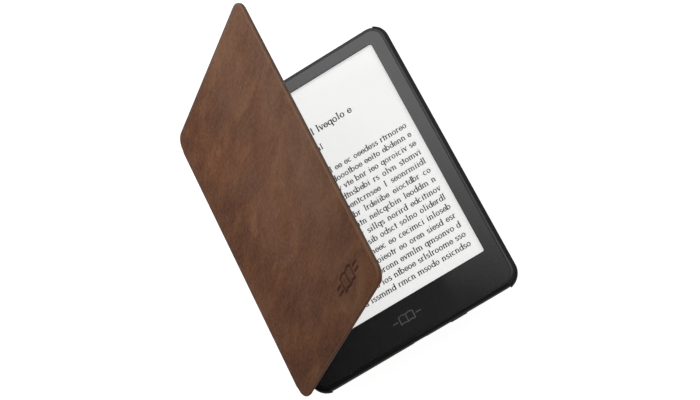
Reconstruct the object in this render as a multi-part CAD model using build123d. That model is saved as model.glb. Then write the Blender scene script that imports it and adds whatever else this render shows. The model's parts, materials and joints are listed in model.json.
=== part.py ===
from build123d import *
import os

# E-reader in a folio cover, in millimetres.
# Origin: under the middle of the reader, on the cover's resting face.
# +X is to the right of the page, +Y to its top, +Z out of the screen.

# ---- cover back, under the reader ----
LEATHER = 1.0            # thickness of every leather skin
TRAY_PLATE = 1.0         # moulded tray's back plate
PAD = 0.3                # soft lining between tray and reader
TRAY_GAP = 0.1           # play between reader and tray walls
TRAY_WALL = 0.6
TRAY_BACK_R = 6.7        # rounding where the tray's walls meet its back
LIP_BELOW_LENS = 0.2     # the tray's lips stop this far below the lens
CLIP_REACH_FOOT = 8.2    # corner clips, measured along the short edge at the page's foot
CLIP_REACH_HEAD = 5.6    # and at its head
CLIP_REACH_Y = 11.0      # the same clips, measured along the spine edge
CLIP_FOOT_R = 3.0        # rounding between a clip's end and the plate
PLATE_INSET = 3.2        # the plate's short edges stop this far inside the reader's outline
LEATHER_INSET = 3.4      # and so does the back leather, on its three free sides

# ---- reader ----
READER_W, READER_H, READER_T = 127.6, 176.7, 7.8
CORNER_R = 9.5
RIM_R = 2.2              # front rim rounding
BACK_R = 5.4             # back edge rounding
POCKET_R = 3.0           # the same edge on the inside
FLOOR = 1.0
LENS_INSET, LENS_T = 2.5, 0.8
LEDGE_INSET = 3.3        # shell wall below the lens
GASKET_INSET = 4.5
GASKET_T = 0.2
FIT = 0.1                # assembly clearance between housings
WINDOW_W, WINDOW_H, WINDOW_R = 107.2, 142.6, 1.6
WINDOW_Y = 7.15          # centre of the screen window
BOARD_T = 0.8
BATTERY_W, BATTERY_H, BATTERY_Y = 92.0, 88.0, 20.0
FRAME_SCREW_X, FRAME_SCREW_Y = 59.0, (-60.0, 0.0, 60.0)
BOARD_SCREW_X, BOARD_SCREW_Y = 50.0, (-79.0, -48.0)
FRAME_POST_R, FRAME_PILOT_R = 1.4, 0.62
BOARD_POST_R, BOARD_PILOT_R = 1.8, 0.72
SCREW_HEAD_H = 0.6
CROSS_HALF_L, CROSS_HALF_W = 0.7, 0.12     # half size of a screw's cross recess

# ---- heights, from the resting face up ----
Z_PLATE = LEATHER
Z_PAD = Z_PLATE + TRAY_PLATE
Z_READER = Z_PAD + PAD
Z_TOP = Z_READER + READER_T
Z_FLOOR = Z_READER + FLOOR
Z_LENS = Z_TOP - LENS_T
Z_LEDGE = Z_LENS - GASKET_T
Z_FRAME, Z_DISPLAY = 6.3, 7.0      # mid frame's plate, and the display on it
Z_GUIDE, Z_TOUCH = 7.95, 8.55
LAYER_GAP = 0.1                    # air gap between display layers
Z_MASK = Z_LENS - 0.1
Z_BOARD = Z_FLOOR + 1.0
Z_CHIPS = Z_BOARD + BOARD_T
Z_PORT = 5.6                       # port, button and light share a centre line

# ---- inside the mid frame ----
BAY_W, BAY_LOW, BAY_HIGH = 115.0, -77.0, 83.0
PANEL_W, PANEL_LOW, PANEL_HIGH = 113.2, -75.0, 82.0
GUIDE_LOW = -71.0
SLOT_X, SLOT_Y = (-22.0, 44.0), (-76.7, -75.3)     # the ribbons pass down through this slot
RIBBON_T = 0.15
LED_COUNT, LED_PITCH, LED_HALF_W, LED_DEPTH = 17, 6.0, 1.5, 1.4

# ---- on the main board ----
CHIP_H, PLUG_H = 0.7, 0.6
CAN_H, CAN_WALL = 1.0, 0.2         # screening cans
PLUG_Y, PLUG_DEPTH = -74.5, 2.2    # display and touch plugs
WIRE_R, WIRE_PITCH = 0.45, 1.2

# ---- port, light and power button on the lower edge ----
WALL_IN = -(READER_H / 2 - LEDGE_INSET)
WALL_OUT = -READER_H / 2
PORT_W, PORT_T, PORT_L, PORT_RECESS = 8.94, 3.26, 7.3, 1.7
PORT_PLAY = 0.12
LIGHT_X, LIGHT_R = 13.0, 0.6
BUTTON_X, BUTTON_W, BUTTON_T, BUTTON_PROUD = 24.0, 10.0, 2.2, 0.35
BUTTON_PLAY = 0.08
BUTTON_FLANGE = 0.6
BUTTON_SEAL = 0.7
SWITCH_Y = -83.0
SEAL_LIP = 1.2                     # a seal's outline is this much larger than its opening
SEAL_ROOM = 2.5                    # room behind the wall for the port's and button's seals

# ---- folding cover ----
COVER_H = 176.7
FLAP_Y = 1.4                       # the flap sits this much towards the page's top
FLAP_CORNER_R = 7.5
SPINE_H = 158.0                    # the spine is a waist between the cover's rounded corners
FLAP_BOARD, FLAP_LINING = 1.0, 0.6
CLOSED_GAP = 0.4                   # closed flap to lens
HINGE_X = -66.3
CREASE_GAP = 0.06                  # round spine edge to its neighbour
FLAP_FREE_X = 65.2
INNER_SETBACK = 1.75               # board and lining start this far from the crease
CREASE_ANGLE = 24.77               # each crease's turn from closed to the open rest
Z_HINGE_A = LEATHER / 2
Z_HINGE_B = Z_TOP + CLOSED_GAP + FLAP_LINING + FLAP_BOARD + LEATHER / 2
SPINE_LINING = 0.4

MAGNET_Y = (-45.0, 45.0)
MAGNET_X, MAGNET_L = 55.5, 14.0
READER_MAGNET_HALF_W, FLAP_MAGNET_HALF_W = 1.2, 2.0

PAST = 1.0                         # cutting tools run this far past the surface they open
FAR = 99.0                         # beyond everything


def block(x, y, z):
    """Box between low and high limits on each axis."""
    size = [high - low for low, high in (x, y, z)]
    middle = [(high + low) / 2 for low, high in (x, y, z)]
    return Pos(*middle) * Box(*size)


def slab(width, height, radius, z_low, z_high, y_mid=0.0, x_mid=0.0):
    """Rounded rectangular plate lying flat."""
    outline = Pos(x_mid, y_mid, z_low) * RectangleRounded(width, height, radius)
    return extrude(outline, z_high - z_low)


def post(x, y, radius, z_low, z_high):
    """Upright cylinder."""
    return Pos(x, y, (z_low + z_high) / 2) * Cylinder(radius, z_high - z_low)


def inset_slab(inset, z_low, z_high):
    """Plate with the reader's outline, moved inwards by inset."""
    return slab(READER_W - 2 * inset, READER_H - 2 * inset, CORNER_R - inset, z_low, z_high)


def edge_slot(x, width, thick, y_low, y_high):
    """Stadium-shaped bar along Y, on the centre line of the port."""
    outline = Plane.XZ * SlotOverall(width, thick)
    bar = extrude(outline, (y_high - y_low) / 2, both=True)
    return Pos(x, (y_low + y_high) / 2, Z_PORT) * bar


def rounded_body(grow, z_low, z_high, low_r, high_r):
    """Reader's outline grown sideways, with rounded lower and upper edges."""
    body = inset_slab(-grow, z_low, z_high)
    body = fillet(body.faces().sort_by(Axis.Z)[-1].edges(), high_r)
    return fillet(body.faces().sort_by(Axis.Z)[0].edges(), low_r)


def grown(by):
    """Edge radii of the reader's form, lower and upper, after growing it evenly."""
    return BACK_R + by, RIM_R + by


def save(name, shape):
    """One STEP file per node; a list is a group of separate solids."""
    if isinstance(shape, list):
        shape = Compound(children=shape)
    export_step(shape, f"parts/{name}.step")


# ---------------------------------------------------------------- reader housing

def frame_screw_places():
    return [(side * FRAME_SCREW_X, y) for side in (-1, 1) for y in FRAME_SCREW_Y]


def board_screw_places():
    return [(side * BOARD_SCREW_X, y) for side in (-1, 1) for y in BOARD_SCREW_Y]


def rear_shell():
    """Moulded shell: back, side walls and the rounded rim around the lens."""
    shell = rounded_body(0, Z_READER, Z_TOP, BACK_R, RIM_R)
    shell -= inset_slab(LENS_INSET - FIT, Z_LEDGE, Z_TOP + PAST)
    pocket = inset_slab(LEDGE_INSET, Z_FLOOR, Z_TOP + PAST)
    shell -= fillet(pocket.faces().sort_by(Axis.Z)[0].edges(), POCKET_R)
    for x, y in frame_screw_places():
        shell += post(x, y, FRAME_POST_R, Z_FLOOR, Z_FRAME) & inset_slab(1.0, Z_FLOOR, Z_TOP)
        shell -= post(x, y, FRAME_PILOT_R, Z_FLOOR + 0.4, Z_FRAME)
    for x, y in board_screw_places():
        shell += post(x, y, BOARD_POST_R, Z_FLOOR, Z_BOARD)
        shell -= post(x, y, BOARD_PILOT_R, Z_FLOOR - 0.5, Z_BOARD)
    through = (WALL_OUT - PAST, WALL_IN + PAST)
    shell -= edge_slot(0, PORT_W + 2 * PORT_PLAY, PORT_T + 2 * PORT_PLAY, *through)
    shell -= edge_slot(BUTTON_X, BUTTON_W + 2 * BUTTON_PLAY, BUTTON_T + 2 * BUTTON_PLAY, *through)
    room = (WALL_IN, WALL_IN + SEAL_ROOM)
    shell -= edge_slot(0, PORT_W + SEAL_LIP + FIT, PORT_T + SEAL_LIP + FIT, *room)
    shell -= edge_slot(BUTTON_X, BUTTON_W + 1.8, BUTTON_T + 1.4, *room)
    seat = (WALL_IN - BUTTON_SEAL, WALL_IN)
    shell -= edge_slot(BUTTON_X, BUTTON_W + SEAL_LIP, BUTTON_T + SEAL_LIP, *seat)
    light = Cylinder(LIGHT_R, through[1] - through[0])
    shell -= Pos(LIGHT_X, sum(through) / 2, Z_PORT) * Rot(90, 0, 0) * light
    return shell


def mid_frame():
    """Inner frame: plate under the display, ring around it, screwed to the shell."""
    frame = inset_slab(LEDGE_INSET + FIT, Z_FRAME, Z_LEDGE)
    bay_h = BAY_HIGH - BAY_LOW
    frame -= slab(BAY_W, bay_h, 2.0, Z_DISPLAY, Z_TOP, (BAY_LOW + BAY_HIGH) / 2)
    frame -= block(SLOT_X, SLOT_Y, (Z_FRAME - PAST, Z_TOP))
    for x, half, depth in ((0, 6.5, -79.0), (BUTTON_X, 6.6, -83.4)):
        frame -= block((x - half, x + half), (WALL_OUT, depth), (Z_FRAME - PAST, Z_GUIDE))
    for x, y in frame_screw_places():
        frame -= post(x, y, FRAME_PILOT_R + 0.13, Z_FRAME - PAST, Z_TOP)
        frame -= post(x, y, 1.2, Z_DISPLAY, Z_TOP)
    return frame


def cover_lens():
    lens = inset_slab(LENS_INSET, Z_LENS, Z_TOP)
    return chamfer(lens.faces().sort_by(Axis.Z)[-1].edges(), 0.15)


def lens_gasket():
    """Sealing tape between the lens, the shell's ledge and the mid frame."""
    return inset_slab(LENS_INSET, Z_LEDGE, Z_LENS) - inset_slab(GASKET_INSET, Z_LEDGE, Z_LENS)


def border_mask():
    """Black film that frames the screen window under the lens."""
    window = slab(WINDOW_W, WINDOW_H, WINDOW_R, Z_MASK, Z_LENS, WINDOW_Y)
    return inset_slab(GASKET_INSET, Z_MASK, Z_LENS) - window


def layer(y_low, z_low, z_high):
    """Flat display layer with its lower edge at y_low."""
    return slab(PANEL_W, PANEL_HIGH - y_low, 0.8, z_low, z_high, (PANEL_HIGH + y_low) / 2)


def led_strip():
    """Front-light ribbon along the light guide's lower edge, one lamp per pitch."""
    lamp_y, lamp_z = (GUIDE_LOW - LED_DEPTH, GUIDE_LOW), (Z_GUIDE, Z_TOUCH - LAYER_GAP)
    strip = block((-53, 53), (PANEL_LOW, GUIDE_LOW), (Z_GUIDE - LAYER_GAP, Z_GUIDE + RIBBON_T))
    for i in range(LED_COUNT):
        x = (i - (LED_COUNT - 1) / 2) * LED_PITCH
        strip += block((x - LED_HALF_W, x + LED_HALF_W), lamp_y, lamp_z)
    return strip


def ribbon(x, start_y, z_start, z_end, end_y):
    """Flat cable: out from a display layer, down the slot, and on to its plug."""
    outer = SLOT_Y[0] + 0.4
    cable = block(x, (outer, start_y), (z_start, z_start + RIBBON_T))
    cable += block(x, (outer, outer + RIBBON_T), (z_end, z_start + RIBBON_T))
    return cable + block(x, (outer, end_y), (z_end, z_end + RIBBON_T))


# ---------------------------------------------------------------- electronics

def main_board():
    board = block((-54, 54), (-83.2, -44), (Z_BOARD, Z_CHIPS))
    board = fillet(board.edges().filter_by(Axis.Z), 2.0)
    board -= block((-4.8, 4.8), (-84, WALL_OUT + PORT_RECESS + PORT_L), (Z_BOARD, Z_CHIPS))
    for x, y in board_screw_places():
        board -= post(x, y, 0.8, Z_BOARD, Z_CHIPS)
    return board


def shield(x, y):
    """Pressed screening can, open underneath."""
    can = block(x, y, (Z_CHIPS, Z_CHIPS + CAN_H))
    inner = [(low + CAN_WALL, high - CAN_WALL) for low, high in (x, y)]
    return can - block(*inner, (Z_CHIPS, Z_CHIPS + CAN_H - CAN_WALL))


def chip(x, y, size_x, size_y, height):
    return block((x, x + size_x), (y, y + size_y), (Z_CHIPS, Z_CHIPS + height))


def battery_pouch():
    pouch = slab(BATTERY_W, BATTERY_H, 3.0, Z_FLOOR + 0.1, Z_FLOOR + 2.8, BATTERY_Y)
    pouch = fillet(pouch.edges().filter_by(GeomType.LINE).filter_by(Axis.Y), 0.9)
    return pouch


def battery_lead():
    """Three wires from the pouch's lower end to a plug on the board."""
    plug_x, plug_y, plug_w, plug_depth, plug_h = -34.2, -48.0, 4.4, 3.0, 1.0
    wire_start, wire_end = plug_y + plug_depth - 0.5, BATTERY_Y - BATTERY_H / 2
    lead = chip(plug_x, plug_y, plug_w, plug_depth, plug_h)
    for i in range(3):
        x = plug_x + 1.0 + WIRE_PITCH * i
        middle = Pos(x, (wire_start + wire_end) / 2, Z_CHIPS + plug_h / 2)
        lead += middle * Rot(90, 0, 0) * Cylinder(WIRE_R, wire_end - wire_start)
    return lead


def antenna():
    """Antenna film across the top, with its tail running down to the board."""
    film = block((-55, -12), (73, 80), (Z_FLOOR, Z_FLOOR + 0.2))
    tail = block((-52, -50), (-45, 73), (Z_FLOOR, Z_FLOOR + 0.2))
    return film + tail


def screws(places, head_r, shank_r, z_head, head_h, length):
    """Cross-recessed screws standing head up."""
    made = []
    for x, y in places:
        screw = post(x, y, head_r, z_head, z_head + head_h)
        screw += post(x, y, shank_r, z_head - length, z_head)
        for reach_x, reach_y in ((CROSS_HALF_L, CROSS_HALF_W), (CROSS_HALF_W, CROSS_HALF_L)):
            recess_z = (z_head + head_h / 2, z_head + head_h)
            screw -= block((x - reach_x, x + reach_x), (y - reach_y, y + reach_y), recess_z)
        made.append(screw)
    return made


# ---------------------------------------------------------------- port, light, button

def usb_receptacle():
    """Steel shell of the charging port, open at its mouth."""
    mouth = WALL_OUT + PORT_RECESS
    shell = edge_slot(0, PORT_W, PORT_T, mouth, mouth + PORT_L)
    return shell - edge_slot(0, PORT_W - 0.6, PORT_T - 0.7, mouth - PAST, mouth + PORT_L - 0.8)


def usb_tongue():
    """Contact tongue standing in the middle of the port."""
    mouth = WALL_OUT + PORT_RECESS
    return block((-3.35, 3.35), (mouth + 0.9, mouth + PORT_L - 0.8), (Z_PORT - 0.35, Z_PORT + 0.35))


def usb_seal():
    ring = edge_slot(0, PORT_W + SEAL_LIP, PORT_T + SEAL_LIP, WALL_IN, WALL_IN + 0.8)
    return ring - edge_slot(0, PORT_W, PORT_T, WALL_IN - PAST, WALL_IN + 2 * PAST)


def power_button():
    """Key cap that follows the shell's curve, with the flange that keeps it in."""
    button = edge_slot(BUTTON_X, BUTTON_W, BUTTON_T, WALL_OUT - PAST, WALL_IN)
    height = (Z_READER - BUTTON_PROUD, Z_TOP + BUTTON_PROUD)
    button &= rounded_body(BUTTON_PROUD, *height, *grown(BUTTON_PROUD))
    return button + edge_slot(BUTTON_X, BUTTON_W + 1.6, BUTTON_T + SEAL_LIP, WALL_IN, WALL_IN + BUTTON_FLANGE)


def button_seal():
    seat = (WALL_IN - BUTTON_SEAL, WALL_IN)
    ring = edge_slot(BUTTON_X, BUTTON_W + SEAL_LIP, BUTTON_T + SEAL_LIP, *seat)
    return ring - edge_slot(BUTTON_X, BUTTON_W + FIT, BUTTON_T + FIT, WALL_OUT, WALL_IN)


def switch_plunger():
    tip = WALL_IN + BUTTON_FLANGE
    return block((BUTTON_X - 0.8, BUTTON_X + 0.8), (tip, SWITCH_Y + 1.0), (Z_PORT - 0.2, Z_PORT + 0.2))


def power_switch():
    """Tactile switch at the board's edge, with a recess for the plunger."""
    body = block((BUTTON_X - 2.2, BUTTON_X + 2.2), (SWITCH_Y, SWITCH_Y + 2.6), (Z_CHIPS, Z_CHIPS + CAN_H))
    recess_z = (Z_PORT - 0.25, Z_PORT + 0.25)
    return body - block((BUTTON_X - 0.85, BUTTON_X + 0.85), (SWITCH_Y, SWITCH_Y + 1.5), recess_z)


def light_pipe():
    pipe = Pos(LIGHT_X, (WALL_OUT + WALL_IN) / 2, Z_PORT) * Rot(90, 0, 0)
    pipe = pipe * Cylinder(LIGHT_R - 0.02, WALL_IN - WALL_OUT)
    return pipe & rounded_body(0, Z_READER, Z_TOP, BACK_R, RIM_R)


# ---------------------------------------------------------------- cover, reader side

def reader_space():
    """Room for the reader in the tray: its form, grown by the play around it."""
    low, high = Z_READER - TRAY_GAP, Z_TOP + TRAY_GAP
    return rounded_body(TRAY_GAP, low, high, *grown(TRAY_GAP))


def tray_form(grow=0.0):
    """Outer form of the tray, or of the leather under it when grown."""
    outside = TRAY_GAP + TRAY_WALL + grow
    height = (Z_PLATE - grow, Z_TOP + outside)
    return rounded_body(outside, *height, TRAY_BACK_R + grow, RIM_R + outside)


def side_opening(x, y):
    """Gap between two clips, with a rounded foot at each end."""
    gap = block(x, y, (Z_PAD, FAR))
    along = Axis.X if y[1] - y[0] > x[1] - x[0] else Axis.Y
    feet = gap.edges().filter_by(along).sort_by(Axis.Z)[:2]
    return fillet(feet, CLIP_FOOT_R)


def cover_tray():
    """Back plate with a wall on the free side and a gripping clip at each corner."""
    half_w, half_h = READER_W / 2, READER_H / 2
    outside = TRAY_GAP + TRAY_WALL
    clip_y = half_h + outside - CLIP_REACH_Y
    plate_y = half_h - PLATE_INSET
    tray = tray_form()
    tray += block((-half_w - outside, 0), (-SPINE_H / 2, SPINE_H / 2), (Z_PLATE, Z_PAD))
    tray -= reader_space()
    tray -= slab(READER_W - 2 * BACK_R, READER_H - 2 * BACK_R, CORNER_R - BACK_R, Z_PAD, Z_TOP)
    tray -= block((-FAR, FAR), (-FAR, FAR), (Z_TOP - LIP_BELOW_LENS, FAR))
    tray -= side_opening((-FAR, 0), (-clip_y, clip_y))
    for side, reach in ((-1, CLIP_REACH_FOOT), (1, CLIP_REACH_HEAD)):
        clip_x = half_w + outside - reach
        low, high = sorted((side * plate_y, side * FAR))
        tray -= block((-clip_x, clip_x), (low, high), (0, Z_PAD + CLIP_FOOT_R))
        low, high = sorted((side * (half_h - 2 * BACK_R), side * FAR))
        tray -= side_opening((-clip_x, clip_x), (low, high))
    return tray


def back_leather():
    """Leather that follows the tray's rounded back and runs out to the spine crease."""
    half_h = SPINE_H / 2
    skin = tray_form(LEATHER) & inset_slab(LEATHER_INSET, 0, Z_PAD)
    run_out = block((HINGE_X + LEATHER / 2 + CREASE_GAP, -50), (-half_h, half_h), (0, LEATHER))
    return (skin + run_out) - cover_tray() - reader_space()


# ---------------------------------------------------------------- cover, folding side

def open_spine(shape):
    """From closed to the rest opening, about the crease beside the tray."""
    return shape.rotate(Axis((HINGE_X, 0, Z_HINGE_A), (0, -1, 0)), CREASE_ANGLE)


def open_flap(shape):
    """From closed to rest: about the flap's own crease, then with the spine."""
    turned = shape.rotate(Axis((HINGE_X, 0, Z_HINGE_B), (0, -1, 0)), CREASE_ANGLE)
    return open_spine(turned)


def flap_sheet(inset, x_start, z_low, z_high):
    """Sheet of the closed flap, rounded at all four corners, from x_start to its free edge."""
    x_end = FLAP_FREE_X - inset
    middle = (x_start + x_end) / 2
    size = (x_end - x_start, COVER_H - 2 * inset, FLAP_CORNER_R - inset)
    return slab(*size, z_low, z_high, y_mid=FLAP_Y, x_mid=middle)


def spine_leather():
    """Leather strip with a full-round edge centred on each crease."""
    half = LEATHER / 2
    along = (-SPINE_H / 2, SPINE_H / 2)
    strip = block((HINGE_X - half, HINGE_X + half), along, (Z_HINGE_A, Z_HINGE_B))
    for z in (Z_HINGE_A, Z_HINGE_B):
        strip += Pos(HINGE_X, 0, z) * Rot(90, 0, 0) * Cylinder(half, SPINE_H)
    return strip


def spine_lining():
    low = HINGE_X + LEATHER / 2
    ends = (Z_HINGE_A + 0.9, Z_HINGE_B - 2.4)
    return block((low, low + SPINE_LINING), (0.3 - SPINE_H / 2, SPINE_H / 2 - 0.3), ends)


def flap_levels():
    """Undersides of lining, board and leather, and the leather's top, when closed."""
    lining = Z_TOP + CLOSED_GAP
    board = lining + FLAP_LINING
    leather = board + FLAP_BOARD
    return lining, board, leather, leather + LEATHER


def front_leather():
    """Outer leather, wrapped around the board's free edges."""
    _, board, leather, top = flap_levels()
    crease_x = HINGE_X + LEATHER / 2 + CREASE_GAP
    skin = flap_sheet(0, crease_x, leather, top)
    skin = fillet(skin.faces().sort_by(Axis.Z)[-1].edges(), 0.7)
    wrap = flap_sheet(0, HINGE_X + INNER_SETBACK, board, leather)
    return skin + (wrap - flap_sheet(LEATHER, HINGE_X, board, leather))


def flap_magnet_blocks(grow=0.0):
    _, board, leather, _ = flap_levels()
    reach = MAGNET_L / 2 + grow
    half = FLAP_MAGNET_HALF_W + grow
    across = (MAGNET_X - half, MAGNET_X + half)
    return [block(across, (y - reach, y + reach), (board, leather)) for y in MAGNET_Y]


def reader_magnet_blocks():
    across = (MAGNET_X - READER_MAGNET_HALF_W, MAGNET_X + READER_MAGNET_HALF_W)
    height = (Z_FLOOR, Z_FLOOR + 1.8)
    return [block(across, (y - MAGNET_L / 2, y + MAGNET_L / 2), height) for y in MAGNET_Y]


def front_board():
    _, board, leather, _ = flap_levels()
    sheet = flap_sheet(LEATHER, HINGE_X + INNER_SETBACK, board, leather)
    for pocket in flap_magnet_blocks(0.1):
        sheet -= pocket
    return sheet


def front_lining():
    lining, board, _, _ = flap_levels()
    return flap_sheet(0.1, HINGE_X + INNER_SETBACK, lining, board)


# ---------------------------------------------------------------- write the nodes

def build():
    os.makedirs("parts", exist_ok=True)
    # housing and display
    save("rear_shell", rear_shell())
    save("mid_frame", mid_frame())
    save("cover_lens", cover_lens())
    save("lens_gasket", lens_gasket())
    save("border_mask", border_mask())
    save("touch_sensor", layer(GUIDE_LOW, Z_TOUCH, Z_MASK - LAYER_GAP))
    save("light_guide", layer(GUIDE_LOW, Z_GUIDE, Z_TOUCH - LAYER_GAP))
    save("eink_panel", layer(PANEL_LOW, Z_DISPLAY, Z_GUIDE - LAYER_GAP))
    save("led_strip", led_strip())
    # electronics
    plug_top = Z_CHIPS + PLUG_H
    save("main_board", main_board())
    save("display_connector", chip(-16, PLUG_Y, 32, PLUG_DEPTH, PLUG_H))
    save("touch_connector", chip(31, PLUG_Y, 10, PLUG_DEPTH, PLUG_H))
    save("display_ribbon", ribbon((-15, 15), PANEL_LOW, Z_DISPLAY + 0.3, plug_top, -73.0))
    save("touch_ribbon", ribbon((32, 40), GUIDE_LOW, Z_TOUCH + 0.2, plug_top, -73.0))
    save("processor_shield", shield((-26, 2), (-70, -50)))
    save("processor_chip", chip(-22, -66, 12, 12, CHIP_H))
    save("memory_chip", chip(-8, -66, 8, 12, CHIP_H))
    save("power_shield", shield((12, 34), (-70, -54)))
    save("power_chip", chip(18, -66, 7, 7, CHIP_H))
    save("hall_sensor", chip(46, -60, 2.0, 1.6, 0.6))
    save("heat_spreader", block((-28, 36), (-71, -48), (Z_FRAME - RIBBON_T, Z_FRAME)))
    save("battery_pouch", battery_pouch())
    save("battery_adhesive", slab(80, 76, 2.0, Z_FLOOR, Z_FLOOR + 0.1, BATTERY_Y))
    save("battery_lead", battery_lead())
    save("antenna_film", antenna())
    save("reader_magnets", reader_magnet_blocks())
    save("frame_screws", screws(frame_screw_places(), 1.1, 0.6, Z_DISPLAY, SCREW_HEAD_H, 3.0))
    save("board_screws", screws(board_screw_places(), 1.3, 0.7, Z_CHIPS, SCREW_HEAD_H, 2.1))
    # lower edge
    save("usb_receptacle", usb_receptacle())
    save("usb_tongue", usb_tongue())
    save("usb_seal", usb_seal())
    save("status_light_pipe", light_pipe())
    save("status_led", chip(LIGHT_X - 0.8, -83.0, 1.6, 0.8, 0.6))
    save("power_button", power_button())
    save("button_seal", button_seal())
    save("power_switch", power_switch())
    save("switch_plunger", switch_plunger())
    # cover
    save("cover_tray", cover_tray())
    pad_w, pad_h = READER_W - 2 * BACK_R - 1, READER_H - 2 * BACK_R - 1
    save("tray_lining", slab(pad_w, pad_h, 4.0, Z_PAD, Z_READER))
    save("back_leather", back_leather())
    save("spine_leather", open_spine(spine_leather()))
    save("spine_lining", open_spine(spine_lining()))
    save("front_leather", open_flap(front_leather()))
    save("front_board", open_flap(front_board()))
    save("front_lining", open_flap(front_lining()))
    save("flap_magnets", [open_flap(magnet) for magnet in flap_magnet_blocks()])


build()
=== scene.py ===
import json
import math
import random

import bmesh
import bpy
from mathutils import Matrix, Vector


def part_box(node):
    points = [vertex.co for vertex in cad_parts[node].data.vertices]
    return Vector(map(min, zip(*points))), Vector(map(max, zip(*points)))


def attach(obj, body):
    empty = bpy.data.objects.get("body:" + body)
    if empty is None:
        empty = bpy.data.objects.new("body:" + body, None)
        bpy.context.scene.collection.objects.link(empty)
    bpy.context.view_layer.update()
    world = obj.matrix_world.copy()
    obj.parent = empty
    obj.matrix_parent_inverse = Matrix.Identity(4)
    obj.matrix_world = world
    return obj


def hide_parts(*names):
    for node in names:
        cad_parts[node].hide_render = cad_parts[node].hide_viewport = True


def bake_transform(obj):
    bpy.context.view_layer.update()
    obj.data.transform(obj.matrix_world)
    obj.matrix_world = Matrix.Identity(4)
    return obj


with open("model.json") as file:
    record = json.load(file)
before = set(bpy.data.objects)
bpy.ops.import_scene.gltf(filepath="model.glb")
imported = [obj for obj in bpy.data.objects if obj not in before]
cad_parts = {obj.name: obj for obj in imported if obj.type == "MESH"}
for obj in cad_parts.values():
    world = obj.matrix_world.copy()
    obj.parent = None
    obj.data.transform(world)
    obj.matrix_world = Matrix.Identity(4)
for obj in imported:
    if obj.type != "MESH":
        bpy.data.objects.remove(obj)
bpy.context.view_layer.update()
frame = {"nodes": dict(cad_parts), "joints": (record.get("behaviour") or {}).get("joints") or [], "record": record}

MM = 0.001
JOINTS = {joint["name"]: joint for joint in frame["joints"]}
SLOT_OF = {part["node"]: part["material_slot"] for part in frame["record"]["subparts"]}


def mm_box(node):
    """Lowest and highest corner of a CAD node, in millimetres."""
    low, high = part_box(node)
    return low / MM, high / MM


# ---- where the cover runs
# The cover is drawn unrolled and then bent. s runs across it in millimetres: below 0 under
# the reader, 0 at the reader's crease, SPINE at the flap's crease, and on to the free edge.
# y is the frame's own. depth is measured inwards from the leather's outer face.

CREASE_A = Vector(JOINTS["spine_hinge"]["pos_m"]) / MM
CREASE_B = Vector(JOINTS["flap_hinge"]["pos_m"]) / MM
SPINE = (CREASE_B - CREASE_A).length
CREASE_TURN = -math.radians(JOINTS["spine_hinge"]["range_deg"][0])
LEATHER = 1.0
BOARD = 1.0
LINING = 0.6
SPINE_LINING = 0.4
FOLD_R = 1.9  # middle of the leather, around each crease
FREE_EDGE_X = 65.2  # the flap's free edge when the cover is shut
FLAP_LENGTH = FREE_EDGE_X - CREASE_A.x
FLAP_LOW, FLAP_HIGH = mm_box("front_leather")
COVER_HALF = (FLAP_HIGH.y - FLAP_LOW.y) / 2
FLAP_Y = (FLAP_HIGH.y + FLAP_LOW.y) / 2  # the flap sits a little towards the page's top
WAIST_HALF = mm_box("spine_leather")[1].y
CORNER_R = 9.5
FLAP_CORNER_R = 7.5
WAIST_R = 2.0
EDGE_R = 0.9  # rounding of the leather's turned edge
WRAP_DEPTH = 1.75  # how far the leather wraps down the edge
FOLD_REACH = 3.4  # half length of the bending stretch


def direction(angle):
    """Unit vector in the xz plane, turned from +x towards +z."""
    return Vector((math.cos(angle), 0.0, math.sin(angle)))


def fold_path():
    """Headings of spine and flap at rest, a crease's bend, and its arc's tangent length."""
    spine_heading = math.pi / 2 + CREASE_TURN
    flap_heading = 2 * CREASE_TURN
    bend = spine_heading - flap_heading
    tangent = FOLD_R * math.tan(bend / 2)
    return spine_heading, flap_heading, bend, tangent


SPINE_HEADING, FLAP_HEADING, BEND, TANGENT = fold_path()
ARC = FOLD_R * BEND


def middle_line(s):
    """Point on the leather's middle line and its heading, at rest."""
    half = ARC / 2
    if s < -half:
        return CREASE_A + direction(0) * (TANGENT - half - s), math.pi
    if s <= half:
        turned = (s + half) / FOLD_R
        start = CREASE_A + direction(0) * TANGENT
        return around(start, math.pi, turned), math.pi - turned
    if s < SPINE - half:
        return spine_point(s), SPINE_HEADING
    if s <= SPINE + half:
        turned = (s - SPINE + half) / FOLD_R
        start = CREASE_B - direction(SPINE_HEADING) * TANGENT
        return around(start, SPINE_HEADING, turned), SPINE_HEADING - turned
    out = s - SPINE - half + TANGENT
    return CREASE_B + direction(FLAP_HEADING) * out, FLAP_HEADING


def spine_point(s):
    """Between the two arcs the strip is stretched a little, so that both ends meet."""
    half = ARC / 2
    share = (s - half) / (SPINE - 2 * half)
    reach = TANGENT + share * (SPINE - 2 * TANGENT)
    return CREASE_A + direction(SPINE_HEADING) * reach


def around(start, heading, turned):
    """Point after turning clockwise by an angle around the fold's inner centre."""
    centre = start + direction(heading - math.pi / 2) * FOLD_R
    return centre + direction(heading + math.pi / 2 - turned) * FOLD_R


def cover_point(s, y, depth):
    """Unrolled place to a point in the frame, in metres."""
    point, heading = middle_line(s)
    outwards = direction(heading + math.pi / 2)
    place = point + outwards * (LEATHER / 2 - depth)
    return Vector((place.x, y, place.z)) * MM


def smooth(t):
    """Eased step from 0 at t = 0 to 1 at t = 1."""
    t = min(1.0, max(0.0, t))
    return t * t * (3 - 2 * t)


# ---- bent sheets

UNROLLED_UNIT = 100  # millimetres in one unit of the unrolled UVs
SHARP_EDGE = math.radians(40)
RUB_AND_HIGHLIGHT_FADE = 0.75  # how much less rubbing and painted highlight the inner edge gets


def spread(low, high, step):
    """Evenly spaced values from low to high, both included."""
    count = max(1, round((high - low) / step))
    return [low + (high - low) * i / count for i in range(count + 1)]


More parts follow.
